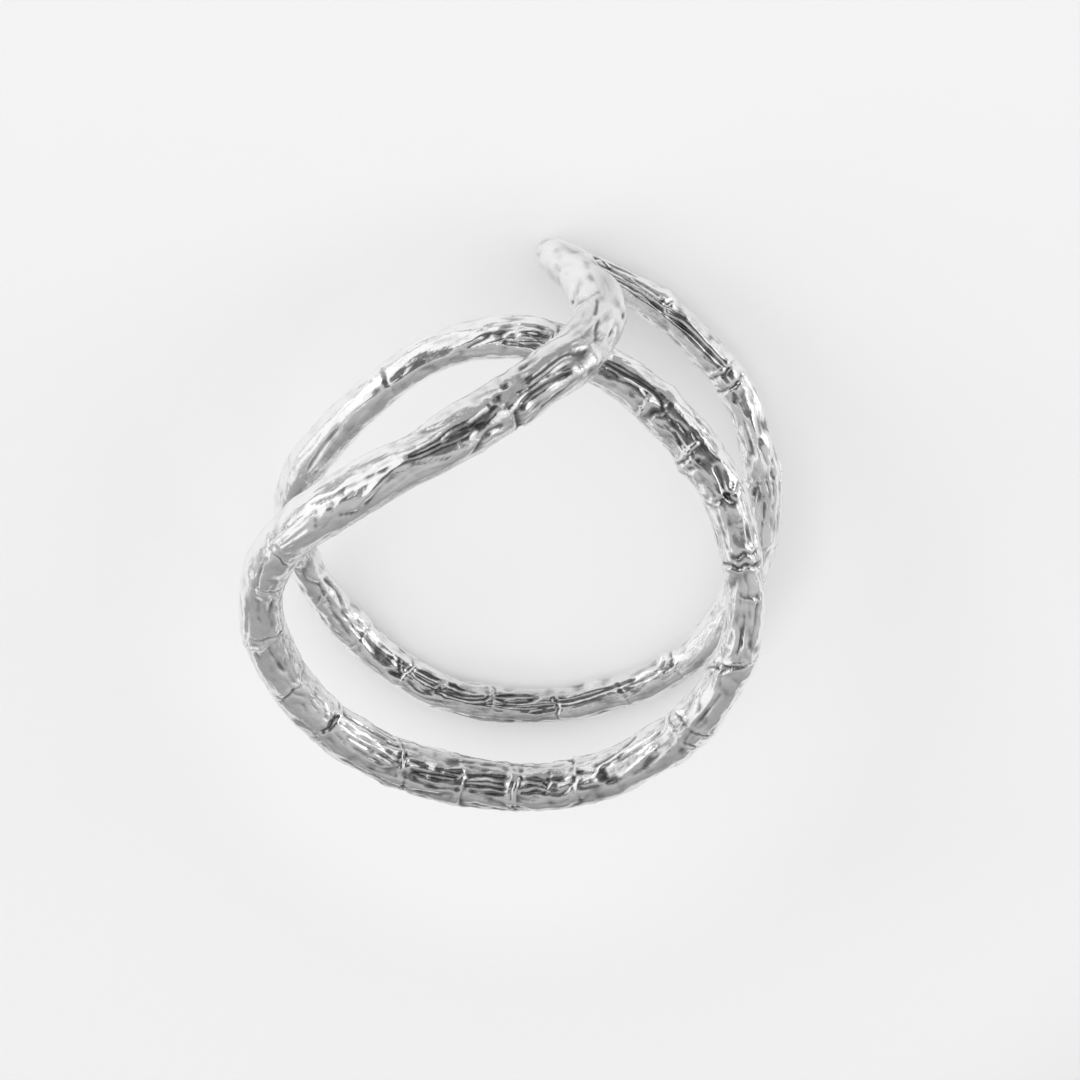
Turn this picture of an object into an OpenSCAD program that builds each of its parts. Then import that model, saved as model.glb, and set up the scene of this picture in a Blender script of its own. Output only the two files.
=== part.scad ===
// A double band ring: one natural twig, cast in silver, that winds twice round the finger.
// The twig is a chart of sections along its middle line, from the curled tip at the front
// to the plain end at the back. The finger axis is upright apart from a small lean,
// because the ring lies on its side on three points of its back band.

/* [Finger hole] */
// Width of the finger hole between regular stretches of the twig
hole_d = 17.3; // [16:0.1:20]

/* [Twig] */
// Diameter of the twig where the chart's girth is 1
twig_d = 1.9; // [1.8:0.05:2.1]
// Rise along the finger from one band to the next
pitch = 5.9; // [5.7:0.1:6.3]
// Depth of the lengthwise ribs of the bark, as a share of the radius
rib_depth = 0.05; // [0:0.01:0.08]
// Number of lengthwise ribs round the twig
rib_count = 5; // [3:1:6]
// Height of the swollen leaf nodes, as a share of the radius
node_swell = 0.10; // [0:0.01:0.14]
// Length of a leaf node along the twig, in chart rows
node_reach = 0.22; // [0.15:0.01:0.4]

/* [Smoothness] */
// Sections from one chart row to the next
steps = 4; // [3:1:5]
// Sides of each section
sides = 12; // [10:1:14]

/* [Rest] */
// Lean of the finger axis from upright when the ring lies on its side
lean = 11.1; // [0:0.1:15]
// Direction that the finger axis leans to, from the right of the ring
lean_way = 259.4; // [0:0.1:360]
// Shift that puts the origin under the middle of the ring
rest_shift = [0.234, -0.479, 5.034];

/* [Hidden] */

// Radius of the middle line where the chart's bulge is 0
mid_r = (hole_d + twig_d) / 2;

// Columns of the chart
TURN = 0;    // angle round the finger, in degrees
BULGE = 1;   // how far the middle line stands outside its regular radius, in mm
RISE = 2;    // place along the finger, in pitches above the middle of the ring
GIRTH = 3;   // thickness, in twig diameters
TWIG = [
    // the curl: tip, bend over the middle band, and down to the front band
    [ 91.0,  0.55, -1.06, 0.54],
    [ 86.5,  0.60, -0.97, 0.79],
    [ 80.5,  1.10, -0.68, 0.97],
    [ 76.5,  1.65, -0.36, 1.12],
    [ 74.5,  1.80, -0.06, 1.15],
    [ 75.5,  1.80,  0.21, 1.12],
    [ 78.0,  1.55,  0.45, 1.11],
    [ 83.0,  1.10,  0.65, 1.11],
    [ 90.0,  0.50,  0.85, 1.14],
    [100.0,  0.14,  1.12, 1.14],
    // the front band: top left, left, bottom, right
    [110.0, -0.06,  1.30, 1.05],
    [130.0, -0.10,  1.42, 1.10],
    [150.0,  0.00,  1.33, 1.00],
    [170.0,  0.00,  1.15, 0.92],
    [190.0, -0.10,  1.00, 0.95],
    [210.0, -0.10,  0.85, 0.95],
    [230.0,  0.00,  0.73, 1.00],
    [250.0,  0.05,  0.63, 1.05],
    [270.0,  0.10,  0.56, 1.03],
    [290.0,  0.20,  0.52, 1.03],
    [310.0,  0.00,  0.49, 1.02],
    [330.0, -0.20,  0.51, 0.92],
    [350.0, -0.20,  0.53, 0.84],
    // the middle band: right, top, top left, left
    [370.0, -0.20,  0.48, 0.86],
    [390.0,  0.00,  0.35, 0.92],
    [410.0,  0.00,  0.20, 0.94],
    [430.0,  0.15,  0.07, 0.92],
    [450.0,  0.35,  0.00, 0.92],
    [470.0,  0.15,  0.04, 0.80],
    [490.0, -0.30,  0.14, 0.81],
    [510.0, -0.40,  0.12, 0.84],
    [531.0, -0.20, -0.03, 0.79],
    // the back band: left, bottom, right, top right
    [552.0,  0.05, -0.25, 0.76],
    [572.0,  0.30, -0.42, 0.76],
    [591.0,  0.45, -0.44, 0.78],
    [610.0,  0.40, -0.38, 0.75],
    [630.0,  0.20, -0.41, 0.74],
    [650.0,  0.15, -0.47, 0.73],
    [669.0,  0.15, -0.50, 0.71],
    [688.0, -0.20, -0.52, 0.73],
    [707.0, -0.25, -0.58, 0.79],
    [727.0, -0.25, -0.65, 0.76],
    [748.0, -0.05, -0.76, 0.72],
    [769.0, -0.05, -0.87, 0.73],
    [790.0, -0.10, -1.01, 0.68],
    [805.0,  0.05, -1.10, 0.55],
];
LAST = len(TWIG) - 1;

// Row at which the twig is parted into two sweeps, which join again face to face
SPLIT = 16;

// Leaf nodes, by their place in chart rows
LEAF_NODES = [5.8, 8.6, 12.1, 13.8, 15.5, 16.8, 17.5, 18.0, 18.8, 20.4, 21.8, 23.0, 24.5,
              26.8, 28.8, 30.4, 32.9, 34.5, 35.6, 36.3, 37.9, 39.2, 41.1, 42.3, 43.6];

// Columns of the buds: place in chart rows, angle round the twig from outward
// towards the front, size in mm, and how far the bud leans along the twig in mm
AT = 0;
CLOCK = 1;
SIZE = 2;
LEANS = 3;
BUDS = [
    [ 5.8, 100, 0.75,  0.2],
    [ 8.7, 140, 0.70,  0.5],
    [15.5,  40, 0.60,  0.2],
    [19.2, 130, 0.70,  0.5],
    [21.8,  30, 0.75, -0.3],
    [23.0,  90, 0.60,  0.3],
    [24.5, 150, 0.65, -0.3],
    [28.8, 180, 0.45,  0.3],
    [32.9, 150, 0.50,  0.4],
    [36.8, 200, 0.45,  0.4],
    [37.9, 190, 0.50, -0.3],
    [41.1,   0, 0.60,  0.4],
    [42.3,  40, 0.70, -0.4],
];

// Value between two rows, from the smooth curve through all of them
function cubic(a, b, c, d, t) =
    b + 0.5 * t * (c - a + t * (2 * a - 5 * b + 4 * c - d + t * (3 * (b - c) + d - a)));
function row(i) = TWIG[min(max(i, 0), LAST)];
function charted(u) =
    let(i = min(floor(u), LAST - 1))
    cubic(row(i - 1), row(i), row(i + 1), row(i + 2), u - i);

// Point on the middle line, and the directions along, out from the finger and across
function middle(u) =
    let(c = charted(u), r = mid_r + c[BULGE])
    [r * cos(c[TURN]), r * sin(c[TURN]), pitch * c[RISE]];
function unit(v) = v / norm(v);
function along(u) = unit(middle(min(u + 0.05, LAST)) - middle(max(u - 0.05, 0)));
function outward(u) =
    let(a = charted(u)[TURN], radial = [cos(a), sin(a), 0], t = along(u))
    unit(radial - (radial * t) * t);
function across(u) = cross(outward(u), along(u));
function spoke(u, clock) = cos(clock) * outward(u) + sin(clock) * across(u);

// Radius of the twig at one place and angle, with its ribs and leaf nodes
function swell(u) = max([for (n = LEAF_NODES) exp(-pow((u - n) / node_reach, 2))]);
function ribs(u, clock) = sin(rib_count * (clock + 25 * sin(40 * u)) + 30 * u);
function bark_r(u, clock) =
    twig_d / 2 * charted(u)[GIRTH] * (1 + node_swell * swell(u) + rib_depth * ribs(u, clock));
function on_bark(u, clock, depth = 0) =
    middle(u) + (bark_r(u, clock) - depth) * spoke(u, clock);

// Rings that round off a free end: how far past it in radii, and the share of its radius
REACH = 0;
SHARE = 1;
TIP_RINGS = [[0.35, 0.9], [0.6, 0.6]];
function ring_at(u) = [for (s = [0 : sides - 1]) on_bark(u, 360 * s / sides)];
function tip_ring(u, way, tip) =
    let(r = twig_d / 2 * charted(u)[GIRTH], base = middle(u) + way * tip[REACH] * r * along(u))
    [for (s = [0 : sides - 1])
        base + tip[SHARE] * bark_r(u, 360 * s / sides) * spoke(u, 360 * s / sides)];

// Closed skin over a stack of rings, each with the same number of points
module skin(rings) {
    n = len(rings[0]);
    last = len(rings) - 1;
    walls = [for (k = [0 : last - 1], s = [0 : n - 1])
        let(a = k * n + s, b = k * n + (s + 1) % n)
        each [[a, b, a + n], [b, b + n, a + n]]];
    caps = [[for (s = [n - 1 : -1 : 0]) s], [for (s = [0 : n - 1]) last * n + s]];
    polyhedron(points = [for (r = rings) each r], faces = concat(walls, caps));
}

// One swept length of the twig; an end that is free is rounded off
module twig_length(from, to, free_start = false, free_end = false) {
    body = [for (k = [0 : (to - from) * steps]) ring_at(from + k / steps)];
    start = free_start ? [for (k = [1 : -1 : 0]) tip_ring(from, -1, TIP_RINGS[k])] : [];
    end = free_end ? [for (t = TIP_RINGS) tip_ring(to, 1, t)] : [];
    skin(concat(start, body, end));
}

// A bud: a small blunt drop that sits in the bark and leans along the twig
module bud(b) {
    foot = on_bark(b[AT], b[CLOCK], b[SIZE] * 0.45);
    top = on_bark(b[AT], b[CLOCK], b[SIZE] * 0.15) + b[LEANS] * along(b[AT]);
    hull() {
        translate(foot) sphere(d = b[SIZE], $fn = 10);
        translate(top) sphere(d = b[SIZE] * 0.6, $fn = 8);
    }
}

// The whole ring as it lies on its side
module twig_band() {
    color("silver")
    translate(rest_shift)
    rotate(a = lean, v = [cos(lean_way + 90), sin(lean_way + 90), 0]) {
        twig_length(0, SPLIT, free_start = true);
        twig_length(SPLIT, LAST, free_end = true);
        for (b = BUDS) bud(b);
    }
}

twig_band();
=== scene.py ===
"""A double band ring, cast in silver from one natural twig, lying on its side.

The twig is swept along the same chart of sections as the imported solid, with its bark,
leaf scars and buds as real relief. Lengths are in millimetres until the mesh is made.
"""

import math

import bpy
import numpy as np
from mathutils import Matrix, Vector

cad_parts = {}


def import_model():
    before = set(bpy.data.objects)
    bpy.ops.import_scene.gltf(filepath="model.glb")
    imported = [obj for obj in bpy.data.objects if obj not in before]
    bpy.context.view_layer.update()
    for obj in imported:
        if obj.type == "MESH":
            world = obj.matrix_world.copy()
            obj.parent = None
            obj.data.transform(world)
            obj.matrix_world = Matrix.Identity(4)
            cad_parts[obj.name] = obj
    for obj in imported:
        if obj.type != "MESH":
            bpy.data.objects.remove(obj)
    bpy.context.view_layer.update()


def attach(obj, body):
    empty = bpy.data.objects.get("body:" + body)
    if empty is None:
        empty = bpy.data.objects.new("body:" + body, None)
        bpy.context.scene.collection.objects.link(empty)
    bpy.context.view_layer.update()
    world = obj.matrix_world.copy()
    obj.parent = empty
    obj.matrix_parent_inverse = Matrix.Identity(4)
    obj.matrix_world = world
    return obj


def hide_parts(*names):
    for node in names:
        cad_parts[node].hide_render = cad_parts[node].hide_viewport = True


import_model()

MM = 0.001

# Sizes of the ring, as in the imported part
HOLE_D = 17.3
TWIG_D = 1.9
PITCH = 5.9
LEAN = 11.1
LEAN_WAY = 259.4
REST_SHIFT = Vector((0.234, -0.479, 5.034))
MID_R = (HOLE_D + TWIG_D) / 2

# The camera, seen from the ring as it stands in the photo: degrees, mm and the image's pixels
CAMERA_UP = 35.0
CAMERA_RIGHT = 7.578
CAMERA_AWAY = 300.0
CAMERA_AIM = (0.737, 0.186)
CAMERA_FOCAL = 7451.0
IMAGE_SIDE = 1080
SENSOR = 36.0

# How near and how far it sees, in m
CAMERA_CLIP = (0.01, 20)

# The twig's chart: angle round the finger in degrees, bulge of the middle line in mm,
# place along the finger in pitches, and girth in twig diameters
TURN, BULGE, RISE, GIRTH = range(4)
TWIG = np.array([
    # the curl
    (91.0, 0.55, -1.06, 0.54),
    (86.5, 0.60, -0.97, 0.79),
    (80.5, 1.10, -0.68, 0.97),
    (76.5, 1.65, -0.36, 1.12),
    (74.5, 1.80, -0.06, 1.15),
    (75.5, 1.80, 0.21, 1.12),
    (78.0, 1.55, 0.45, 1.11),
    (83.0, 1.10, 0.65, 1.11),
    (90.0, 0.50, 0.85, 1.14),
    (100.0, 0.14, 1.12, 1.14),
    # the front band
    (110.0, -0.06, 1.30, 1.05),
    (130.0, -0.10, 1.42, 1.10),
    (150.0, 0.00, 1.33, 1.00),
    (170.0, 0.00, 1.15, 0.92),
    (190.0, -0.10, 1.00, 0.95),
    (210.0, -0.10, 0.85, 0.95),
    (230.0, 0.00, 0.73, 1.00),
    (250.0, 0.05, 0.63, 1.05),
    (270.0, 0.10, 0.56, 1.03),
    (290.0, 0.20, 0.52, 1.03),
    (310.0, 0.00, 0.49, 1.02),
    (330.0, -0.20, 0.51, 0.92),
    (350.0, -0.20, 0.53, 0.84),
    # the middle band
    (370.0, -0.20, 0.48, 0.86),
    (390.0, 0.00, 0.35, 0.92),
    (410.0, 0.00, 0.20, 0.94),
    (430.0, 0.15, 0.07, 0.92),
    (450.0, 0.35, 0.00, 0.92),
    (470.0, 0.15, 0.04, 0.80),
    (490.0, -0.30, 0.14, 0.81),
    (510.0, -0.40, 0.12, 0.84),
    (531.0, -0.20, -0.03, 0.79),
    # the back band
    (552.0, 0.05, -0.25, 0.76),
    (572.0, 0.30, -0.42, 0.76),
    (591.0, 0.45, -0.44, 0.78),
    (610.0, 0.40, -0.38, 0.75),
    (630.0, 0.20, -0.41, 0.74),
    (650.0, 0.15, -0.47, 0.73),
    (669.0, 0.15, -0.50, 0.71),
    (688.0, -0.20, -0.52, 0.73),
    (707.0, -0.25, -0.58, 0.79),
    (727.0, -0.25, -0.65, 0.76),
    (748.0, -0.05, -0.76, 0.72),
    (769.0, -0.05, -0.87, 0.73),
    (790.0, -0.10, -1.01, 0.68),
    (805.0, 0.05, -1.10, 0.55),
])
LAST = len(TWIG) - 1

# The soft lamp: degrees round from +X and up from the floor, distance and width in m,
# and power in W
LAMP_TURN = 84
LAMP_UP = 60
LAMP_AWAY = 0.6
LAMP_WIDE = 1.4
LAMP_POWER = 4.8

# The floor, whose sides are this far from the ring in m
FLOOR_HALF = 4.0
FLOOR_ROUGH = 0.8

# Its colour, with painted light: paler still under the ring, against the ring's shadow, and a
# painted pool of light round the ring that darkens far off. The colour under the ring, round it
# and far off, and the distances in m between which it falls from each to the next, each with its
# own middle.
# PAINTED_POOL_STRETCH is the share of a distance that counts along each axis: the painted pool
# reaches farthest to the left of the ring.
FLOOR_UNDER, FLOOR_ROUND, FLOOR_FAR = 0.98, 0.885, 0.32
PAINTED_LIFT_EDGES = (0.009, 0.018)
PAINTED_LIFT_MIDDLE = (0, -0.006, 0)
PAINTED_POOL_EDGES = (0.031, 0.056)
PAINTED_POOL_MIDDLE = (-0.022, 0, 0)
PAINTED_POOL_STRETCH = (0.6, 0.85, 1)

# Looks of the silver. Each noise: its stretch along the twig, its cells in a mm, and its detail.
# Each ramp: the range that it reads, and what it gives at the two ends.
FIBRE_NOISE = (4.0, 4.5, 3.0)
SPECK_NOISE = (1.4, 8.0, 2.0)
CLOUD_NOISE = (2.0, 1.8, 3.0)
SPECK_DULL = (0.50, 0.75, 0.0, 0.08)
CLOUD_DULL = (0.45, 0.70, 0.0, 0.10)
# SILVER_GREY turns tarnish and painted light into the silver's grey: darker for patina and painted
# shade, brighter for painted highlights
SILVER_GREY = (-0.15, 1.0, 0.97, 0.24)
FIBRE_ROUGH = (0.35, 0.70, -0.07, 0.05)

# Depth of the finest grain, which is too small for the mesh, in mm, and its specks' share of it
GRAIN_BUMP = 0.020
SPECK_SHARE = 0.6

# Mesh of the twig: sections along it and sides of each. At a scar the sections are closer
# together, by this much more and within this many mm. The last is the number of points that
# the twig's length is measured over.
SECTIONS = 1030
SIDES = 96
SCAR_CLOSER = 1.6
SCAR_REACH = 0.35
FINE_COUNT = 20001

# Rows to each side of a place that give the direction along the twig
AHEAD = 0.05

# Layers of noise in the bark. Each: seed, size, length of a cell in mm, and cells round the twig.
# WANDER turns the fibres round the twig, in degrees; the others are heights in mm.
WANDER = [(1, 20, 2.6, 3), (6, 8, 0.9, 7), (7, 4, 0.4, 13)]
FIBRES = [(2, 0.055, 2.1, 13), (3, 0.034, 1.1, 23), (8, 0.018, 0.6, 37)]
WRINKLES = [(4, 0.014, 0.32, 9), (9, 0.010, 0.22, 26)]
KNOTS = [(5, 0.030, 1.6, 5), (10, 0.016, 0.7, 10)]
FIBRE_MEAN = 0.05
NOISE_GAIN = 1.6

# Shape of a leaf scar in mm: half widths of its cut and its lip, and the lip's distance
CUT_WIDTH = 0.065
LIP_WIDTH = 0.10
LIP_OFF = 0.15

# Its noise: how far its line strays in mm, and its uneven height as middle, swing, least and most
SCAR_STRAY = [(11, 0.07, 3.0, 16)]
SCAR_UNEVEN = [(12, 0.55, 2.0, 7)]
SCAR_MIDDLE = 0.75
SCAR_LIMITS = (0.15, 1.2)

# Its ends: degrees over which it fades, and the share of its line that it runs on past them
SCAR_FADE = 25
SCAR_PAST = 0.15

# The grooves, where the silver is darker and rougher: patina in the hollows, with painted shade
# there as well. Rounds of smoothing that the bark is set against, depth in mm that counts as full,
# and the roughness added there
GROOVE_ROUNDS = 14
GROOVE_DEPTH = 0.07
GROOVE_ROUGH = 0.15

# Length of the twig's rounded ends, in radii
END_LENGTH = 0.8

# The bark from place to place: chart place, share of the full grain, and the silver's roughness
PLACE, SHARE, ROUGH = range(3)
GRAIN = np.array([
    (0.0, 0.36, 0.36),
    (3.0, 0.32, 0.36),
    (5.0, 0.45, 0.31),
    (6.2, 0.80, 0.20),
    (8.5, 0.80, 0.18),
    (9.2, 0.45, 0.16),
    (11.0, 0.48, 0.17),
    (12.0, 0.52, 0.20),
    (13.5, 0.52, 0.22),
    (14.6, 0.66, 0.22),
    (15.5, 0.85, 0.18),
    (16.6, 1.20, 0.16),
    (18.5, 1.10, 0.16),
    (19.2, 0.70, 0.16),
    (20.3, 0.85, 0.16),
    (21.0, 0.60, 0.18),
    (22.0, 0.75, 0.18),
    (24.0, 0.90, 0.17),
    (26.0, 0.80, 0.16),
    (27.3, 0.70, 0.16),
    (27.8, 0.35, 0.16),
    (30.0, 0.38, 0.17),
    (32.0, 0.60, 0.18),
    (33.0, 1.00, 0.16),
    (35.5, 0.95, 0.18),
    (36.2, 0.80, 0.17),
    (36.5, 0.45, 0.16),
    (38.5, 0.55, 0.16),
    (40.0, 0.95, 0.16),
    (41.0, 1.25, 0.16),
    (42.5, 1.00, 0.16),
    (44.0, 0.70, 0.18),
    (45.0, 0.80, 0.20),
])

# Leaf scars, which run across the twig: chart place and clock of the two ends of the scar's line,
# depth of its cut and height of its lip in mm, and the lip's side (1 towards the twig's end).
# A clock is the angle round the twig, from outward towards the ring's front, in degrees.
SCARS = [
    (12.02, 105, 11.88, 42, 0.09, 0.04, -1),
    (12.66, 118, 12.66, 80, 0.07, 0.04, 1),
    (13.62, 200, 13.62, 90, 0.06, 0.03, -1),
    (13.70, 85, 13.80, 25, 0.03, 0.12, 1),
    (14.55, 165, 14.66, 90, 0.05, 0.04, -1),
    (14.66, 90, 14.74, 60, 0.03, 0.02, -1),
    (15.38, 180, 15.36, 90, 0.12, 0.05, 1),
    (15.38, 92, 15.46, 45, 0.02, 0.12, 1),
    (16.50, 190, 16.60, 110, 0.07, 0.07, -1),
    (16.62, 115, 16.74, 55, 0.06, 0.03, -1),
    (17.36, 200, 17.42, 70, 0.07, 0.06, -1),
    (18.02, 215, 18.04, 60, 0.06, 0.08, -1),
    (18.12, 215, 18.10, 80, 0.04, 0.06, -1),
    (18.50, 150, 18.46, 110, 0.04, 0.06, 1),
    (18.80, 210, 18.84, 50, 0.08, 0.05, 1),
    (20.42, 180, 20.40, 50, 0.05, 0.05, -1),
    (20.58, 185, 20.62, 30, 0.10, 0.06, 1),
    (21.45, 175, 21.74, 95, 0.07, 0.05, -1),
    (21.74, 110, 21.86, 20, 0.12, 0.07, 1),
    (22.78, 95, 22.72, 45, 0.03, 0.05, -1),
    (23.15, 160, 23.12, 20, 0.09, 0.08, -1),
    (23.27, 90, 23.27, 40, 0.08, 0.03, 1),
    (23.95, 125, 24.02, 10, 0.06, 0.07, 1),
    (24.55, 150, 24.70, -10, 0.08, 0.06, 1),
    (25.38, 130, 25.42, 65, 0.03, 0.06, -1),
    (26.60, 120, 26.62, 0, 0.05, 0.04, 1),
    (28.64, 95, 28.62, 30, 0.12, 0.03, 1),
    (32.72, 120, 32.84, 75, 0.03, 0.06, 1),
    (33.60, 200, 33.62, 60, 0.05, 0.04, 1),
    (34.42, 170, 34.42, 60, 0.06, 0.05, 1),
    (34.90, 135, 34.96, 100, 0.04, 0.06, 1),
    (35.55, 190, 35.55, 130, 0.07, 0.07, -1),
    (36.33, 160, 36.34, 80, 0.08, 0.05, 1),
    (37.16, 150, 37.20, 80, 0.04, 0.04, -1),
    (38.02, 175, 38.02, 90, 0.07, 0.06, 1),
    (39.20, 170, 39.20, 60, 0.06, 0.04, 1),
    (40.20, 150, 40.24, 20, 0.05, 0.05, 1),
    (41.10, 140, 41.10, 30, 0.06, 0.05, 1),
    (42.30, 150, 42.36, 0, 0.08, 0.07, -1),
    (42.50, 150, 42.54, 0, 0.06, 0.06, 1),
    (43.45, 130, 43.42, 30, 0.05, 0.06, -1),
]

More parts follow.
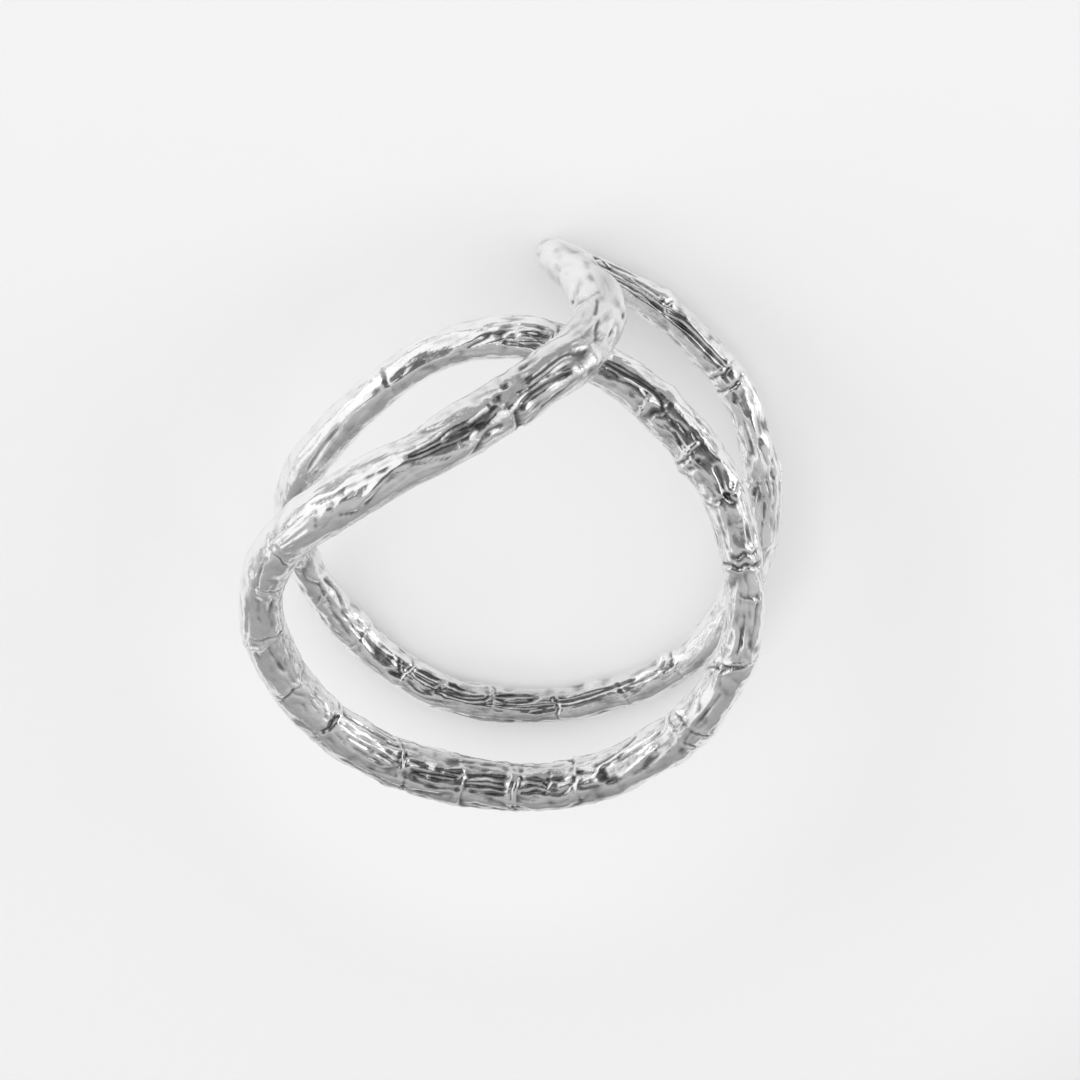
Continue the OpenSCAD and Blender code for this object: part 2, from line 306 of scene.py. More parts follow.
# Creases (depth above 0) and ridges (below 0) of the bark: depth and half width in mm, and the
# line's points as chart place and clock
CREASES = [
    # the curl
    (0.03, 0.14, ((1.9, 356), (2.6, 344), (3.2, 333), (3.9, 344), (4.35, 350))),
    (0.03, 0.10, ((4.2, 296), (4.2, 322), (3.95, 340))),
    (0.07, 0.07, ((4.3, 342), (4.6, 349), (4.9, 356))),
    (0.07, 0.07, ((5.1, 10), (5.3, 15), (5.55, 31))),
    (-0.08, 0.08, ((5.0, 2), (5.2, 5), (5.4, 7))),
    (-0.09, 0.08, ((4.8, 34), (5.05, 38), (5.3, 40))),
    (-0.08, 0.07, ((4.75, 50), (5.1, 56))),
    (0.09, 0.06, ((4.95, 46), (5.1, 49))),
    (-0.08, 0.07, ((5.2, 59), (5.4, 76))),
    (0.09, 0.07, ((4.1, 58), (4.25, 53))),
    (0.08, 0.07, ((3.4, 262), (3.55, 270))),
    (0.03, 0.12, ((1.2, 350), (1.7, 348), (2.1, 340))),
    # the joint under the curl
    (0.10, 0.08, ((6.0, 36), (6.3, 21), (6.65, 18), (7.05, 25), (7.45, 30))),
    (0.13, 0.09, ((6.65, 56), (7.1, 52), (7.5, 55), (7.8, 59), (8.05, 75))),
    (0.07, 0.07, ((6.55, 78), (7.0, 92), (7.5, 100))),
    (0.05, 0.06, ((7.3, 80), (7.7, 90))),
    (-0.04, 0.06, ((6.38, 40), (6.40, 56), (6.28, 74))),
    (0.07, 0.07, ((6.14, 40), (6.18, 58), (6.12, 78))),
    (0.07, 0.06, ((6.55, 44), (6.9, 40))),
    (0.07, 0.06, ((7.0, 42), (7.2, 36))),
    (-0.06, 0.06, ((6.75, 31), (7.0, 36), (7.3, 37))),
    (0.06, 0.06, ((7.5, 46), (7.8, 44))),
    (0.22, 0.09, ((8.05, 74), (8.05, 98), (8.0, 124), (7.92, 145))),
    # the lobe and the dark wedge below the joint
    (0.09, 0.08, ((8.4, 84), (8.52, 79), (8.64, 78), (8.74, 86), (8.82, 97), (8.96, 107))),
    (-0.10, 0.07, ((8.88, 62), (8.97, 72), (9.02, 90), (8.99, 106))),
    (0.12, 0.15, ((8.40, 40), (8.65, 46), (8.9, 53))),
    (0.16, 0.16, ((8.95, 53), (9.25, 53))),
    (0.10, 0.09, ((9.3, 52), (9.95, 53))),
    (0.05, 0.05, ((9.45, 92), (9.75, 76), (10.0, 62))),
    (-0.07, 0.10, ((10.1, 58), (10.3, 68), (10.55, 84))),
    (0.09, 0.07, ((10.75, 68), (10.78, 57), (10.94, 50), (11.12, 43))),
    (0.08, 0.07, ((10.90, 56), (10.96, 78), (10.93, 96), (10.80, 110))),
    (0.07, 0.07, ((10.65, 104), (10.52, 92), (10.36, 76), (10.22, 65))),
    (0.07, 0.06, ((11.09, 50), (11.15, 68), (11.25, 92))),
    (-0.07, 0.08, ((10.78, 98), (10.62, 88), (10.45, 74))),
    (-0.06, 0.05, ((11.30, 70), (11.55, 72), (11.80, 68))),
    (-0.07, 0.07, ((11.30, 88), (11.55, 84), (11.80, 80))),
    (-0.05, 0.05, ((11.2, 56), (11.5, 60), (11.85, 57))),
    (0.05, 0.06, ((12.1, 66), (12.35, 72), (12.6, 80))),
    (0.04, 0.06, ((10.3, 56), (10.8, 52))),
    (0.04, 0.05, ((11.0, 88), (11.2, 100))),
    # the left of the front band
    (0.16, 0.10, ((15.40, 146), (15.41, 96))),
    (0.04, 0.13, ((12.85, 90), (13.3, 98))),
    (0.04, 0.10, ((12.85, 128), (13.1, 122), (13.45, 130))),
    (0.06, 0.10, ((13.75, 106), (14.0, 112), (14.25, 120))),
    (0.04, 0.10, ((14.1, 132), (14.5, 128))),
    (-0.05, 0.12, ((14.6, 140), (15.3, 138))),
    (0.06, 0.06, ((15.22, 142), (15.28, 128))),
    # the bottom of the front band
    (0.07, 0.07, ((15.5, 170), (16.0, 172), (16.48, 168))),
    (0.06, 0.05, ((15.7, 126), (16.1, 132), (16.45, 122))),
    (0.05, 0.05, ((15.9, 112), (16.4, 112))),
    (0.05, 0.05, ((15.6, 146), (16.3, 144))),
    (0.08, 0.08, ((16.62, 142), (17.0, 142), (17.34, 144))),
    (0.07, 0.06, ((16.7, 124), (17.05, 130), (17.3, 132))),
    (0.08, 0.08, ((16.76, 108), (17.1, 103), (17.34, 108))),
    (0.08, 0.08, ((17.45, 138), (17.7, 146), (17.98, 145))),
    (0.07, 0.07, ((17.45, 122), (17.7, 126), (17.96, 118))),
    (0.07, 0.06, ((17.5, 108), (17.95, 107))),
    (0.08, 0.07, ((18.14, 143), (18.4, 138), (18.46, 128))),
    (0.07, 0.07, ((18.14, 112), (18.35, 118), (18.46, 110))),
    (0.06, 0.07, ((18.55, 140), (18.78, 132))),
    (0.07, 0.06, ((18.9, 148), (19.12, 140))),
    (0.06, 0.05, ((18.9, 112), (19.1, 104))),
    # the U-shaped end at the lower right
    (-0.10, 0.08, ((19.62, 160), (19.4, 152), (19.2, 146), (19.13, 132), (19.15, 108))),
    (0.10, 0.09, ((19.15, 154), (19.35, 160), (19.6, 168), (19.8, 180))),
    (0.09, 0.09, ((19.24, 136), (19.24, 108), (19.4, 102))),
    (-0.07, 0.07, ((19.4, 104), (19.65, 112), (20.05, 120))),
    (0.05, 0.07, ((19.6, 96), (20.1, 104))),
    (0.05, 0.06, ((19.5, 142), (20.2, 150))),
    # the right of the front band
    (-0.07, 0.07, ((20.72, 108), (21.0, 106), (21.25, 104))),
    (0.05, 0.06, ((20.7, 96), (21.3, 92))),
    (-0.06, 0.09, ((21.4, 118), (21.65, 124))),
    (0.07, 0.07, ((21.44, 150), (21.7, 134))),
    (-0.09, 0.09, ((21.92, 52), (22.05, 72), (22.18, 84))),
    (0.09, 0.08, ((21.96, 96), (22.1, 90), (22.3, 94))),
    (0.07, 0.08, ((22.05, 60), (22.4, 54), (22.75, 46))),
    (0.07, 0.07, ((22.1, 88), (22.5, 86))),
    (-0.05, 0.08, ((22.0, 130), (22.4, 126))),
    (0.04, 0.06, ((23.35, 112), (23.8, 112))),
    (0.06, 0.09, ((23.35, 52), (23.55, 42))),
    (0.15, 0.11, ((24.3, 52), (24.15, 59), (24.0, 66), (23.92, 57))),
    (-0.07, 0.06, ((23.97, 118), (23.92, 90))),
    (-0.07, 0.10, ((24.08, 52), (24.15, 36))),
    (-0.08, 0.10, ((24.35, 62), (24.36, 36))),
    # the hooked crease under the arch's right end
    (0.14, 0.12, ((25.97, 45), (25.75, 45), (25.6, 39), (25.4, 37),
                  (25.25, 44), (25.17, 57), (25.2, 68))),
    (-0.08, 0.06, ((25.4, 88), (25.31, 104), (25.28, 118))),
    (0.06, 0.06, ((25.32, 54), (25.5, 52))),
    (0.12, 0.06, ((24.94, 52), (24.82, 55))),
    (0.12, 0.07, ((24.82, 39), (24.68, 45))),
    (0.10, 0.06, ((24.9, 80), (24.76, 87))),
    (0.08, 0.05, ((25.05, 60), (24.97, 66))),
    (-0.08, 0.06, ((24.66, 145), (24.6, 100), (24.65, 68), (24.66, 50))),
    (0.08, 0.07, ((24.48, 140), (24.45, 100), (24.5, 76))),
    # the top of the middle band: an eye in the bark
    (0.08, 0.07, ((26.75, 68), (26.9, 72), (27.15, 66), (27.22, 50), (27.1, 36), (26.9, 30))),
    (0.07, 0.06, ((26.85, 58), (27.0, 62), (27.08, 50), (26.95, 42), (26.8, 44))),
    (0.08, 0.09, ((26.75, 22), (27.0, 22), (27.15, 28))),
    (0.06, 0.06, ((27.3, 44), (27.4, 60), (27.6, 74))),
    (-0.05, 0.07, ((27.42, 44), (27.55, 58), (27.75, 66))),
    (-0.06, 0.08, ((27.12, 80), (27.1, 66))),
    (-0.04, 0.12, ((27.75, 86), (28.55, 82))),
    (0.05, 0.09, ((29.5, 78), (30.2, 88))),
    (-0.04, 0.10, ((29.85, 98), (30.3, 98))),
    (0.03, 0.06, ((29.7, 52), (29.95, 56), (30.3, 42))),
    # the left and bottom of the back band
    (0.10, 0.09, ((32.55, 150), (32.75, 162), (32.98, 158), (33.05, 148))),
    (-0.06, 0.07, ((32.58, 132), (32.8, 128), (33.0, 130))),
    (0.09, 0.09, ((34.22, 150), (34.28, 128), (34.38, 110), (34.2, 96))),
    (0.07, 0.06, ((34.5, 150), (34.8, 155))),
    (0.08, 0.08, ((34.55, 132), (34.8, 134))),
    (0.07, 0.06, ((34.98, 160), (35.3, 156))),
    (0.08, 0.07, ((34.95, 124), (35.25, 124), (35.45, 138), (35.5, 152))),
    (0.09, 0.06, ((35.6, 158), (35.8, 164), (36.05, 162), (36.1, 150),
                  (36.0, 138), (35.7, 134), (35.6, 144))),
    (0.09, 0.06, ((35.5, 124), (35.9, 121), (36.3, 122))),
    (0.11, 0.07, ((36.31, 144), (36.36, 133), (36.5, 130),
                  (36.8, 137), (37.1, 145), (37.4, 149))),
    (0.10, 0.08, ((37.92, 160), (37.84, 144), (37.92, 130), (38.02, 134), (38.06, 148))),
    (0.06, 0.07, ((37.35, 136), (37.60, 134), (37.80, 138))),
    (-0.07, 0.08, ((37.55, 160), (37.7, 150), (37.85, 130))),
    # the back band's right
    (0.07, 0.06, ((40.3, 78), (40.5, 84), (40.7, 78), (40.85, 76))),
    (0.09, 0.10, ((41.0, 108), (41.05, 98))),
    (0.08, 0.10, ((40.95, 44), (41.2, 42), (41.35, 30))),
    (-0.07, 0.12, ((41.25, 72), (41.6, 76), (41.9, 66))),
    (0.06, 0.06, ((41.5, 96), (41.9, 92))),
    (0.11, 0.08, ((42.55, 51), (42.8, 57), (43.05, 57), (43.25, 62),
                  (43.4, 64), (43.7, 50), (44.05, 51))),
    (0.07, 0.07, ((43.55, 27), (43.67, 23), (43.85, 19))),
    (0.09, 0.09, ((42.15, 92), (42.25, 78))),
    (0.10, 0.06, ((44.42, 350), (44.2, 356), (43.9, 358))),
    (0.08, 0.06, ((44.35, 22), (44.1, 28), (43.8, 34))),
]

# Buds, pits and swellings: chart place, clock, half length and half width in mm, and height in mm
LUMPS = [
    (1.20, 340, 0.50, 0.40, 0.06),
    (1.20, 288, 0.30, 0.25, 0.06),
    (2.20, 335, 0.50, 0.40, 0.06),
    (2.25, 282, 0.30, 0.25, 0.06),
    (2.45, 32, 1.00, 0.50, -0.28),
    (3.00, 345, 0.40, 0.40, 0.05),
    (3.10, 285, 0.25, 0.25, 0.06),
    (3.97, 45, 0.22, 0.22, 0.08),
    (4.45, 298, 0.20, 0.18, 0.09),
    (4.48, 338, 0.10, 0.08, 0.06),
    (4.52, 20, 0.16, 0.16, 0.09),
    (5.00, 60, 0.30, 0.25, 0.08),
    (5.30, 25, 0.20, 0.20, 0.06),
    (5.90, 60, 0.21, 0.38, 0.14),
    (7.29, 350, 0.22, 0.08, -0.10),
    (7.48, 26, 0.14, 0.18, -0.08),
    (7.75, 122, 0.40, 0.45, 0.12),
    (7.92, 11, 0.15, 0.10, -0.13),
    (8.23, 30, 0.15, 0.13, -0.18),
    (8.38, 18, 0.12, 0.14, 0.11),
    (8.65, 100, 0.30, 0.30, 0.06),
    (9.70, 14, 1.00, 0.35, -0.09),
    (9.90, 48, 0.90, 0.32, 0.07),
    (10.55, 78, 0.90, 0.45, 0.09),
    (10.73, 106, 0.07, 0.10, 0.05),
    (11.03, 72, 0.07, 0.20, 0.05),
    (11.62, 76, 0.22, 0.16, 0.06),
    (11.62, 76, 0.10, 0.07, -0.05),
    (11.70, 74, 2.40, 0.42, 0.05),
    (12.30, 140, 0.50, 0.60, 0.05),
    (15.20, 40, 0.50, 0.50, 0.05),
    (16.55, 60, 0.35, 0.60, 0.07),
    (18.02, 173, 0.10, 0.10, 0.07),
    (18.05, 120, 0.25, 1.00, 0.04),
    (18.13, 169, 0.07, 0.08, -0.07),
    (18.23, 174, 0.10, 0.09, 0.06),
    (18.36, 171, 0.08, 0.08, 0.06),
    (19.65, 20, 0.90, 0.60, -0.18),
    (19.80, 185, 0.60, 0.50, 0.10),
    (20.30, 215, 0.50, 0.40, -0.12),
    (20.55, 138, 0.09, 0.09, 0.06),
    (20.61, 166, 0.30, 0.30, 0.13),
    (21.68, 10, 0.45, 0.70, 0.14),
    (21.70, 150, 0.25, 0.30, 0.12),
    (22.00, 108, 0.22, 0.20, 0.09),
    (23.00, 130, 0.30, 0.30, 0.08),
    (23.98, 66, 0.16, 0.14, -0.08),
    (24.35, 30, 0.25, 0.25, 0.08),
    (24.50, 160, 0.40, 0.50, 0.20),
    (24.95, 0, 0.40, 0.50, 0.05),
    (25.25, 79, 0.12, 0.24, -0.13),
    (25.25, 350, 0.35, 0.40, 0.14),
    (26.98, 48, 0.35, 0.35, 0.08),
    (27.60, 160, 0.50, 0.40, -0.06),
    (32.25, 200, 0.40, 0.40, 0.10),
    (32.82, 142, 0.25, 0.22, 0.09),
    (33.50, 190, 0.30, 0.40, 0.10),
    (34.25, 190, 0.40, 0.40, -0.08),
    (35.15, 50, 0.70, 0.40, -0.08),
    (35.85, 148, 0.10, 0.08, 0.05),
    (36.82, 190, 0.35, 0.35, 0.20),
    (37.44, 126, 0.08, 0.08, 0.07),
    (37.54, 121, 0.06, 0.07, -0.06),
    (37.63, 126, 0.08, 0.08, 0.07),
    (37.74, 122, 0.06, 0.08, -0.06),
    (37.90, 186, 0.28, 0.35, 0.20),
    (37.95, 141, 0.09, 0.10, 0.08),
    (40.95, 90, 0.15, 0.18, -0.07),
    (41.20, 0, 0.40, 0.40, 0.12),
    (41.75, 0, 0.35, 0.40, -0.12),
    (42.20, 170, 0.35, 0.40, 0.10),
    (42.40, 60, 0.30, 0.60, 0.05),
    (43.22, 54, 0.28, 0.13, -0.09),
    (43.50, 350, 0.35, 0.40, 0.12),
    (44.33, 8, 0.20, 0.12, 0.14),
    (44.44, 352, 0.10, 0.14, -0.18),
]

# Patches of painted light on the silver: painted shade (above 0) and painted highlights (below 0).
# Each: chart place, clock, half length and half width in mm, and strength of the painted shade
PAINTED_LIGHT_PATCHES = [
    (1.50, 310, 3.00, 1.20, -0.08),
    (1.80, 250, 1.80, 0.35, 0.34),
    (1.90, 352, 1.50, 0.35, 0.30),
    (2.60, 290, 1.50, 0.50, -0.10),
    (3.50, 2, 1.50, 0.55, 0.34),
    (4.88, 329, 0.60, 0.40, 0.18),
    (5.00, 62, 1.20, 0.50, -0.15),
    (5.20, 350, 1.60, 0.60, 0.12),
    (6.45, 55, 0.60, 0.40, 0.30),
    (7.20, 40, 2.00, 0.40, 0.12),
    (7.60, 355, 3.50, 0.45, 0.18),
    (8.23, 30, 0.16, 0.14, 0.50),
    (8.35, 80, 1.20, 0.45, 0.35),
    (8.75, 50, 0.80, 0.20, 0.40),
    (9.10, 54, 1.30, 0.20, 0.55),
    (9.80, 130, 4.00, 0.50, 0.24),
    (11.20, 95, 4.00, 0.50, -0.30),
    (11.50, 15, 4.50, 0.90, -0.15),
    (12.80, 148, 3.00, 0.60, 0.30),
    (13.20, 95, 4.00, 1.00, -0.10),
    (14.30, 178, 3.00, 0.50, 0.20),
    (15.40, 50, 2.00, 0.30, 0.20),
    (16.12, 168, 0.60, 0.40, 0.35),
    (16.90, 178, 1.60, 0.35, 0.26),
    (17.20, 48, 3.20, 0.50, 0.30),
    (17.30, 135, 5.50, 1.20, 0.20),
    (17.75, 180, 1.60, 0.35, 0.26),
    (18.55, 170, 1.30, 0.30, 0.20),
    (18.70, 48, 2.60, 0.60, 0.30),
    (19.70, 134, 1.60, 0.28, 0.30),
    (20.20, 104, 2.00, 0.50, 0.22),
    (20.60, 146, 3.50, 0.40, -0.12),
    (20.62, 124, 0.50, 0.30, 0.26),
    (23.62, 119, 0.50, 0.30, 0.20),
    (25.50, 38, 0.80, 0.12, 0.35),
    (25.85, 46, 0.35, 0.20, 0.50),
    (26.20, 80, 2.00, 0.30, 0.10),
    (26.62, 355, 0.70, 0.50, 0.28),
    (28.25, 62, 1.20, 0.30, -0.15),
    (29.50, 20, 6.00, 0.80, -0.15),
    (29.50, 118, 4.00, 0.40, 0.14),
    (31.20, 128, 3.00, 0.50, 0.26),
    (31.88, 160, 0.70, 0.40, 0.28),
    (32.62, 71, 0.50, 0.30, 0.24),
    (33.38, 118, 0.50, 0.35, 0.28),
    (33.90, 55, 2.50, 0.50, -0.15),
    (35.80, 128, 4.00, 1.00, 0.20),
    (35.80, 158, 2.50, 0.30, 0.30),
    (36.20, 62, 2.50, 0.30, 0.26),
    (37.30, 130, 3.00, 0.80, 0.18),
    (37.88, 134, 0.60, 0.40, 0.30),
    (38.20, 56, 2.50, 0.40, 0.34),
    (38.80, 145, 5.00, 1.20, -0.20),
    (40.60, 112, 0.70, 0.30, 0.18),
    (40.95, 80, 0.90, 0.35, 0.30),
    (41.25, 112, 0.40, 0.30, 0.22),
    (41.50, 0, 5.00, 0.70, -0.15),
    (41.75, 45, 0.40, 0.35, 0.20),
    (43.12, 15, 0.60, 0.35, 0.25),
    (43.25, 55, 0.60, 0.35, 0.12),
    (43.80, 350, 2.00, 0.50, -0.12),
]


def cubic_rows(rows, u):
    """Smooth curve through the rows of a table, each column on its own."""
    i = np.clip(np.floor(u).astype(int), 0, len(rows) - 2)
    t = (u - i)[:, None]
    a, b, c, d = (rows[np.clip(i + k, 0, len(rows) - 1)] for k in (-1, 0, 1, 2))
    return b + 0.5 * t * (c - a + t * (2 * a - 5 * b + 4 * c - d + t * (3 * (b - c) + d - a)))


def unit(v):
    return v / np.linalg.norm(v, axis=-1, keepdims=True)


def middle(u):
    """Points of the twig's middle line, on the standing ring."""
    c = cubic_rows(TWIG, u)
    a = np.radians(c[:, TURN])
    r = MID_R + c[:, BULGE]
    return np.stack([r * np.cos(a), r * np.sin(a), PITCH * c[:, RISE]], 1)


def guides(u):
    """Middle line, direction along it, out from the finger, and across towards the front."""
    line = middle(u)
    along = unit(middle(np.minimum(u + AHEAD, LAST)) - middle(np.maximum(u - AHEAD, 0)))
    a = np.radians(cubic_rows(TWIG, u)[:, TURN])
    radial = np.stack([np.cos(a), np.sin(a), 0 * a], 1)
    outward = unit(radial - (radial * along).sum(1)[:, None] * along)
    return line, along, outward, np.cross(outward, along)


# Chart places finely spaced along the twig, and their distance along it in mm
FINE_PLACES = np.linspace(0, LAST, FINE_COUNT)
FINE_STEPS = np.linalg.norm(np.diff(middle(FINE_PLACES), axis=0), axis=1)
FINE_RUN = np.concatenate([[0], np.cumsum(FINE_STEPS)])


def run_at(u):
    """Distance along the twig at a chart place, in mm."""
    return np.interp(u, FINE_PLACES, FINE_RUN)


def section_places():
    """Chart places of the sections, closer together at the scars."""
    closer = np.zeros_like(FINE_RUN)
    for scar in SCARS:
        mid = run_at((scar[0] + scar[2]) / 2)
        closer = np.maximum(closer, np.exp(-(((FINE_RUN - mid) / SCAR_REACH) ** 2)))
    weight = 1 + SCAR_CLOSER * closer
    total = np.concatenate([[0], np.cumsum(np.diff(FINE_RUN) * (weight[1:] + weight[:-1]) / 2)])
    return np.interp(np.linspace(0, total[-1], SECTIONS), total, FINE_PLACES)


def noise(seed, s, turn, cell, around):
    """Smooth noise on the bark, mostly from -1 to 1.

    A cell is a length along the twig in mm, and a number of cells go round it.
    """
    rng = np.random.default_rng(seed)
    table = rng.uniform(-1, 1, (int(s.max() / cell) + 4, around))
    x = s / cell + 1
    y = (turn / 360 * around) % around
    i, j = np.floor(x).astype(int), np.floor(y).astype(int)
    fx, fy = x - i, y - j
    fx, fy = (f * f * (3 - 2 * f) for f in (fx, fy))
    j, j1 = j % around, (j + 1) % around
    low = table[i, j] * (1 - fy) + table[i, j1] * fy
    high = table[i + 1, j] * (1 - fy) + table[i + 1, j1] * fy
    return NOISE_GAIN * (low * (1 - fx) + high * fx)


def layered(rows, S, C, shaped=np.positive):
    """Sum of some layers of noise, each of them shaped first."""
    return sum(size * shaped(noise(seed, S, C, cell, around)) for seed, size, cell, around in rows)


def turned(clock, other):
    """Angle from one clock to another, the short way round, in degrees."""
    return (clock - other + 180) % 360 - 180


def near(clock, low, high, soft):
    """1 where the clock is between low and high, fading out over soft degrees."""
    off = np.abs(turned(clock, (low + high) / 2)) - abs(high - low) / 2
    return np.clip(1 - off / soft, 0, 1)


def scar_height(S, C, scar, stray, uneven):
    """A cut across the twig with a lip along one side."""
    u0, c0, u1, c1, cut_depth, lip_height, side = scar
    share = np.clip(turned(C, c0) / (c1 - c0), -SCAR_PAST, 1 + SCAR_PAST)
    x = S - (run_at(u0) + share * (run_at(u1) - run_at(u0))) + stray
    cut = cut_depth * np.exp(-((x / CUT_WIDTH) ** 2))
    lip = lip_height * np.exp(-(((x - side * LIP_OFF) / LIP_WIDTH) ** 2))
    return near(C, c0, c1, SCAR_FADE) * uneven * (lip - cut)


def crease_height(S, C, radius, crease):
    """A crease or ridge along a line of straight stretches."""
    depth, width, points = crease
    nearest = np.full(S.shape, np.inf)
    for (ua, ca), (ub, cb) in zip(points[:-1], points[1:]):
        px, py = S - run_at(ua), np.radians(turned(C, ca)) * radius
        qx, qy = run_at(ub) - run_at(ua), math.radians(cb - ca) * radius
        t = np.clip((px * qx + py * qy) / (qx * qx + qy * qy), 0, 1)
        nearest = np.minimum(nearest, np.hypot(px - t * qx, py - t * qy))
    return -depth * np.exp(-((nearest / width) ** 2))


def round_patch(S, C, radius, patch):
    """A soft round swelling, pit or patch, of the size and strength that its row gives."""
    u, c, half_length, half_width, strength = patch
    x = (S - run_at(u)) / half_length
    y = np.radians(turned(C, c)) * radius / half_width
    return strength * np.exp(-(x * x + y * y))


def bark(u, S, C, R):
    """Height of the bark over the smooth twig, in mm, on a grid of sections and sides."""
    grain = np.interp(u, GRAIN[:, PLACE], GRAIN[:, SHARE])[:, None]
    fibres = layered(FIBRES, S, C + layered(WANDER, S, C), np.abs) - FIBRE_MEAN
    high = grain * (fibres + layered(WRINKLES, S, C)) + layered(KNOTS, S, C)
    stray = layered(SCAR_STRAY, S, C)
    uneven = np.clip(SCAR_MIDDLE + layered(SCAR_UNEVEN, S, C), *SCAR_LIMITS)
    for scar in SCARS:
        high += scar_height(S, C, scar, stray, uneven)
    for crease in CREASES:
        high += crease_height(S, C, R, crease)
    for lump in LUMPS:
        high += round_patch(S, C, R, lump)
    return high


def softened(high, rounds):
    """The heights, averaged with their neighbours round the twig and along it."""
    for _ in range(rounds):
        high = 0.5 * high + 0.25 * (np.roll(high, 1, 1) + np.roll(high, -1, 1))
        ends = np.concatenate([high[:1], high, high[-1:]])
        high = 0.5 * high + 0.25 * (ends[:-2] + ends[2:])
    return high


def twig_mesh():
    """Points of the skin, and for each its darkening (patina and painted shade in the grooves,
    painted shade and highlights in patches), its place on the bark and its roughness.
    """
    u = section_places()
    s = run_at(u)
    line, along, outward, across = guides(u)
    clock = np.arange(SIDES) * 360 / SIDES
    radius = TWIG_D / 2 * cubic_rows(TWIG, u)[:, GIRTH]
    S = np.repeat(s[:, None], SIDES, 1)
    C = np.repeat(clock[None], SECTIONS, 0)
    R = np.repeat(radius[:, None], SIDES, 1)
    high = bark(u, S, C, R)
    groove = np.clip((softened(high, GROOVE_ROUNDS) - high) / GROOVE_DEPTH, 0, 1)
    # painted shade and highlights in patches, added to the patina and painted shade of the grooves
    tarnish_and_painted_light = groove + sum(round_patch(S, C, R, patch) for patch in PAINTED_LIGHT_PATCHES)
    rough = np.interp(u, GRAIN[:, PLACE], GRAIN[:, ROUGH])[:, None] + GROOVE_ROUGH * groove
    c, d = np.cos(np.radians(clock)), np.sin(np.radians(clock))
    spoke = outward[:, None] * c[None, :, None] + across[:, None] * d[None, :, None]
    end = np.clip(np.minimum(s, s[-1] - s) / radius / END_LENGTH, 0, 1)
    rounding = np.sqrt(1 - (1 - end) ** 2)
    skin = line[:, None] + spoke * ((radius[:, None] + high) * rounding[:, None])[..., None]
    place = np.stack([R * c, R * d, S], -1)
    return skin, tarnish_and_painted_light, place, rough


def turn_matrix():
    """From the ring as it stands in the photo to the ring as it lies."""
    way = math.radians(LEAN_WAY + 90)
    return Matrix.Rotation(math.radians(LEAN), 3, Vector((math.cos(way), math.sin(way), 0)))


LAY = turn_matrix()


def laid(points):
    """Points of the standing ring, placed as it lies and none below the floor, in metres."""
    placed = points @ np.array(LAY).T + np.array(REST_SHIFT)
    placed[:, 2] = np.maximum(placed[:, 2], 0)
    return placed * MM


def add_object(name, data):
    thing = bpy.data.objects.new(name, data)
    bpy.context.collection.objects.link(thing)
    return thing


def make_twig():
    """The twig as one closed mesh, with what its material reads at each point."""
    skin, tarnish_and_painted_light, place, rough = twig_mesh()
    rings, sides = skin.shape[:2]
    k = np.arange(rings - 1)[:, None] * sides
    j = np.arange(sides)[None]
    j1 = (j + 1) % sides
    walls = np.stack([k + j, k + sides + j, k + sides + j1, k + j1], -1).reshape(-1, 4)
    first_cap = list(range(sides))
    last_cap = [(rings - 1) * sides + n for n in reversed(range(sides))]
    mesh = bpy.data.meshes.new("twig")
    points = laid(skin.reshape(-1, 3))
    mesh.from_pydata(points.tolist(), [], walls.tolist() + [first_cap, last_cap])
    # the silver's tarnish and painted light at each point: patina and painted shade in the
    # grooves, painted shade and highlights in patches
    mesh.attributes.new("tarnish_and_painted_light", "FLOAT", "POINT").data.foreach_set("value", tarnish_and_painted_light.ravel())
    mesh.attributes.new("rough", "FLOAT", "POINT").data.foreach_set("value", rough.ravel())
    mesh.attributes.new("place", "FLOAT_VECTOR", "POINT").data.foreach_set("vector", place.ravel())
    mesh.update()
    mesh.shade_smooth()
    return add_object("twig", mesh)


class Nodes:
    """Short ways to add and join the nodes of one material or world."""

    def __init__(self, tree):
        self.tree = tree

    def add(self, kind, **settings):
        node = self.tree.nodes.new(kind)
        for name, value in settings.items():
            setattr(node, name, value)
        return node

    def feed(self, socket, value):
        if isinstance(value, bpy.types.NodeSocket):
            self.tree.links.new(value, socket)
        else:
            socket.default_value = value

    def operate(self, kind, output, operation, *values):
        node = self.add(kind, operation=operation)
        for socket, value in zip(node.inputs, values):
            self.feed(socket, value)
        return node.outputs[output]

    def math(self, operation, *values):
        return self.operate("ShaderNodeMath", "Value", operation, *values)

    def vector(self, operation, a, b):
        return self.operate("ShaderNodeVectorMath", "Vector", operation, a, b)

    def dot(self, a, b):
        return self.operate("ShaderNodeVectorMath", "Value", "DOT_PRODUCT", a, b)

    def length(self, vector):
        return self.operate("ShaderNodeVectorMath", "Value", "LENGTH", vector)

    def ramp(self, value, low, high, out_low, out_high):
        """A smooth step from out_low to out_high, as the value goes from low to high."""
        node = self.add("ShaderNodeMapRange", interpolation_type="SMOOTHSTEP")
        names = ("Value", "From Min", "From Max", "To Min", "To Max")
        for name, v in zip(names, (value, low, high, out_low, out_high)):
            self.feed(node.inputs[name], v)
        return node.outputs["Result"]

    def grey(self, value):
        node = self.add("ShaderNodeCombineColor")
        for socket in node.inputs:
            self.feed(socket, value)
        return node.outputs["Color"]

    def attribute(self, name, output):
        return self.add("ShaderNodeAttribute", attribute_name=name).outputs[output]

    def noise(self, where, stretch, scale, detail):
        """Fractal noise about 0.5, in cells of 1 / scale mm, stretched along the twig."""
        node = self.add("ShaderNodeTexNoise")
        self.feed(node.inputs["Vector"], self.vector("MULTIPLY", where, (1, 1, 1 / stretch)))
        node.inputs["Scale"].default_value = scale
        node.inputs["Detail"].default_value = detail
        return node.outputs["Fac"]


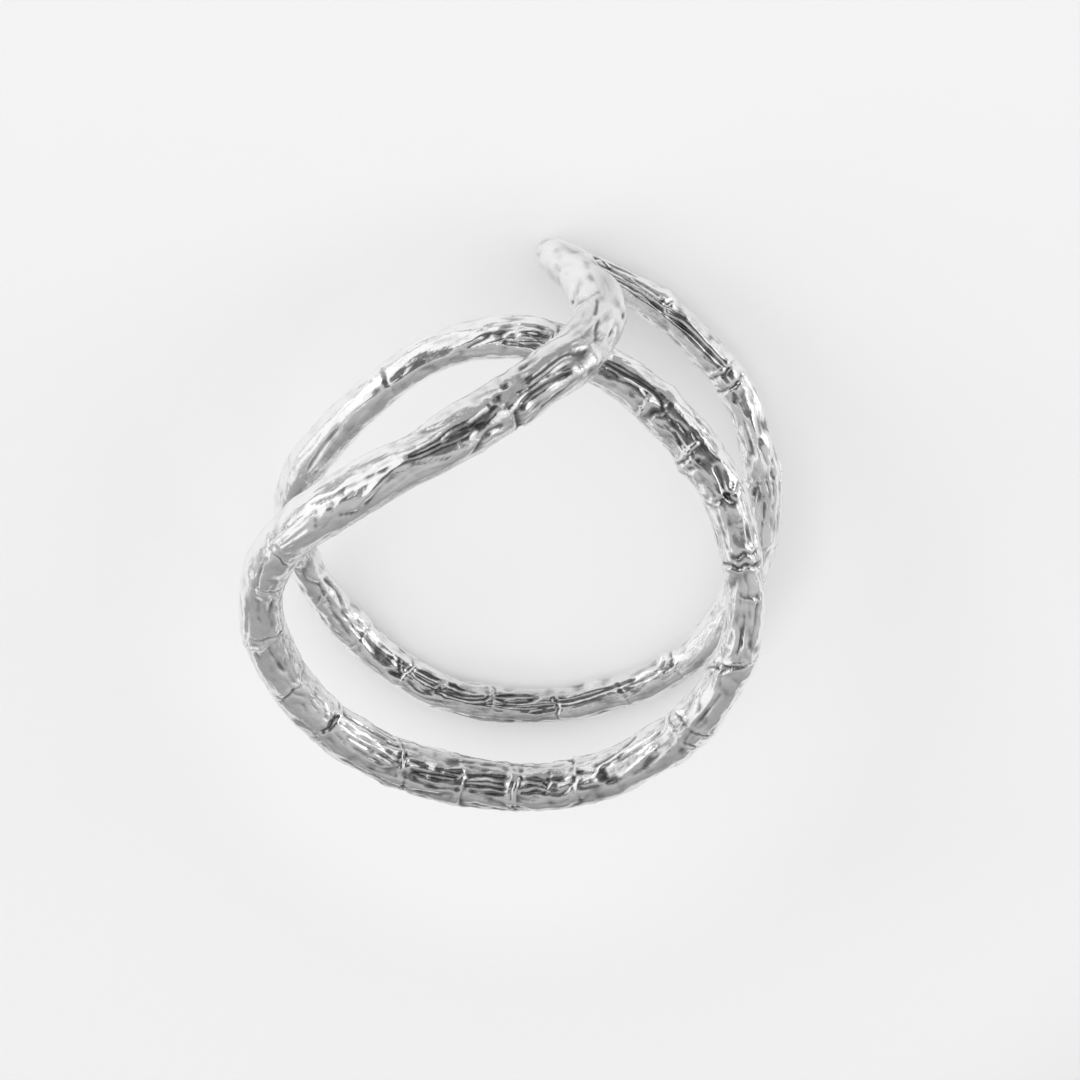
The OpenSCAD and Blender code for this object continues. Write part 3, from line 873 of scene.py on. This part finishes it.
def new_material(name):
    """A material, its nodes and its shader."""
    mat = bpy.data.materials.new(name)
    mat.use_nodes = True
    return mat, Nodes(mat.node_tree), mat.node_tree.nodes["Principled BSDF"]


def silver():
    """Polished silver, darkened in its grooves by patina and painted shade, with patches of
    painted shade and highlights, dull mottles and a fine fibrous grain.
    """
    mat, nodes, shader = new_material("silver")
    place = nodes.attribute("place", "Vector")
    fibre = nodes.noise(place, *FIBRE_NOISE)
    speck = nodes.noise(place, *SPECK_NOISE)
    cloud = nodes.noise(place, *CLOUD_NOISE)
    # the silver's grey: patina and painted shade in the grooves, painted shade and highlights in
    # patches, and random dull specks and mottles
    tarnish_and_painted_light = nodes.math("ADD", nodes.attribute("tarnish_and_painted_light", "Fac"), nodes.ramp(speck, *SPECK_DULL))
    tarnish_and_painted_light = nodes.math("ADD", tarnish_and_painted_light, nodes.ramp(cloud, *CLOUD_DULL))
    rough = nodes.math("ADD", nodes.attribute("rough", "Fac"), nodes.ramp(fibre, *FIBRE_ROUGH))
    nodes.feed(shader.inputs["Base Color"], nodes.grey(nodes.ramp(tarnish_and_painted_light, *SILVER_GREY)))
    nodes.feed(shader.inputs["Roughness"], rough)
    shader.inputs["Metallic"].default_value = 1.0
    grain = nodes.math("ADD", fibre, nodes.math("MULTIPLY", speck, SPECK_SHARE))
    bump = nodes.add("ShaderNodeBump")
    bump.inputs["Strength"].default_value = 1.0
    bump.inputs["Distance"].default_value = GRAIN_BUMP * MM
    nodes.feed(bump.inputs["Height"], grain)
    nodes.feed(shader.inputs["Normal"], bump.outputs["Normal"])
    return mat


def add_floor():
    """A wide pale sheet with painted light: a painted pool of light that darkens away from the
    ring, paler under the ring against its shadow.
    """
    corners = [(-1, -1), (1, -1), (1, 1), (-1, 1)]
    points = [(FLOOR_HALF * x, FLOOR_HALF * y, 0) for x, y in corners]
    mesh = bpy.data.meshes.new("floor")
    mesh.from_pydata(points, [], [(0, 1, 2, 3)])
    floor = add_object("floor", mesh)
    mat, nodes, shader = new_material("floor")
    coord = nodes.add("ShaderNodeTexCoord").outputs["Object"]
    # painted light on the floor: paler under the ring against its shadow, and a painted pool of
    # light that darkens away from it
    beside = nodes.length(nodes.vector("SUBTRACT", coord, PAINTED_LIFT_MIDDLE))
    under = nodes.ramp(beside, *PAINTED_LIFT_EDGES, FLOOR_UNDER, FLOOR_ROUND)
    off = nodes.vector("SUBTRACT", coord, PAINTED_POOL_MIDDLE)
    away = nodes.length(nodes.vector("MULTIPLY", off, PAINTED_POOL_STRETCH))
    far = nodes.ramp(away, *PAINTED_POOL_EDGES, 1.0, FLOOR_FAR / FLOOR_ROUND)
    nodes.feed(shader.inputs["Base Color"], nodes.grey(nodes.math("MULTIPLY", under, far)))
    shader.inputs["Roughness"].default_value = FLOOR_ROUGH
    mesh.materials.append(mat)


def seen(right, up):
    """Direction from the standing ring, in degrees to the right of the viewer and up."""
    a, e = math.radians(right), math.radians(up)
    return Vector((math.sin(a) * math.cos(e), math.sin(e), math.cos(a) * math.cos(e)))


# The studio's soft light, by the parts of a direction that go to the side, up and towards the
# viewer, as the standing ring sees it. Each: the range of that part, and the light or the share
# of the dark at its two ends.
BASE_BY_SIDE = (0.2, 0.8, 0.52, 0.58)
BASE_BELOW = (-0.95, -0.3, 0.70, 1.0)
BASE_ABOVE = (0.5, 0.85, 0.0, -0.12)
DARK_FROM = (-0.04, 0.12, 0.0, 1.0)
DARK_UP_TO = (0.86, 0.95, 1.0, 0.0)
DARK_IN_FRONT = (0.15, 0.4, 0.0, 1.0)
DARK_DEPTH = (0.1, 0.75, 0.60, 0.88)

# Its light panels: direction (degrees to the right of the viewer, degrees up), half width to the
# full light and half width to the edge in degrees, and light
PANELS = [
    # wide ones at the left, the right, the low right and the upper left
    (-100, 14, 60, 75, 0.98),
    (92, 18, 30, 42, 1.05),
    (112, -6, 36, 60, 0.62),
    (-30, 58, 8, 28, 0.40),
    # small bright ones at the left and the right
    (-72, 24, 5, 11, 3.0),
    (82, 18, 5, 11, 3.0),
]


def world():
    """Soft studio round the ring: grey ceiling and floor, a dark front, and light panels."""
    studio = bpy.data.worlds.new("studio")
    studio.use_nodes = True
    bpy.context.scene.world = studio
    nodes = Nodes(studio.node_tree)
    background = studio.node_tree.nodes["Background"]
    direction = nodes.add("ShaderNodeTexCoord").outputs["Generated"]
    side, up, front = (nodes.dot(direction, way) for way in LAY.col)
    base = nodes.ramp(nodes.math("ABSOLUTE", side), *BASE_BY_SIDE)
    base = nodes.math("MULTIPLY", base, nodes.ramp(up, *BASE_BELOW))
    base = nodes.math("ADD", base, nodes.ramp(up, *BASE_ABOVE))
    band = nodes.math("MULTIPLY", nodes.ramp(up, *DARK_FROM), nodes.ramp(up, *DARK_UP_TO))
    dark = nodes.math("MULTIPLY", band, nodes.ramp(front, *DARK_IN_FRONT))
    dark = nodes.math("MULTIPLY", dark, nodes.ramp(up, *DARK_DEPTH))
    total = nodes.math("MULTIPLY", base, nodes.math("SUBTRACT", 1.0, dark))
    for right, rise, inner, outer, light in PANELS:
        facing = nodes.dot(direction, LAY @ seen(right, rise))
        edge, full = math.cos(math.radians(outer)), math.cos(math.radians(inner))
        total = nodes.math("MAXIMUM", total, nodes.ramp(facing, edge, full, 0.0, light))
    nodes.feed(background.inputs["Strength"], total)
    background.inputs["Color"].default_value = (1, 1, 1, 1)


def add_camera():
    """The photo's camera, at its exact angle to the ring."""
    back = seen(CAMERA_RIGHT, CAMERA_UP)
    right = Vector((0, 1, 0)).cross(back).normalized()
    up = back.cross(right)
    eye = right * CAMERA_AIM[0] + up * CAMERA_AIM[1] + back * CAMERA_AWAY
    data = bpy.data.cameras.new("camera")
    data.sensor_width = SENSOR
    data.lens = CAMERA_FOCAL / IMAGE_SIDE * SENSOR
    data.clip_start, data.clip_end = CAMERA_CLIP
    cam = add_object("camera", data)
    turn = Matrix((LAY @ right, LAY @ up, LAY @ back)).transposed()
    place = (LAY @ eye + REST_SHIFT) * MM
    cam.matrix_world = Matrix.Translation(place) @ turn.to_4x4()
    bpy.context.scene.camera = cam


def add_light():
    """One very wide soft lamp overhead, so that the ring darkens only the floor near it."""
    a, e = math.radians(LAMP_TURN), math.radians(LAMP_UP)
    towards = Vector((math.cos(a) * math.cos(e), math.sin(a) * math.cos(e), math.sin(e)))
    data = bpy.data.lights.new("lamp", "AREA")
    data.shape = "DISK"
    data.size = LAMP_WIDE
    data.energy = LAMP_POWER
    lamp = add_object("lamp", data)
    lamp.location = towards * LAMP_AWAY
    lamp.rotation_euler = towards.to_track_quat("Z", "Y").to_euler()
    lamp.visible_glossy = False


add_camera()
twig = make_twig()
twig.data.materials.append(silver())
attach(twig, "root")
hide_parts("twig_band")
add_floor()
world()
add_light()
bpy.context.scene.view_settings.view_transform = "Standard"
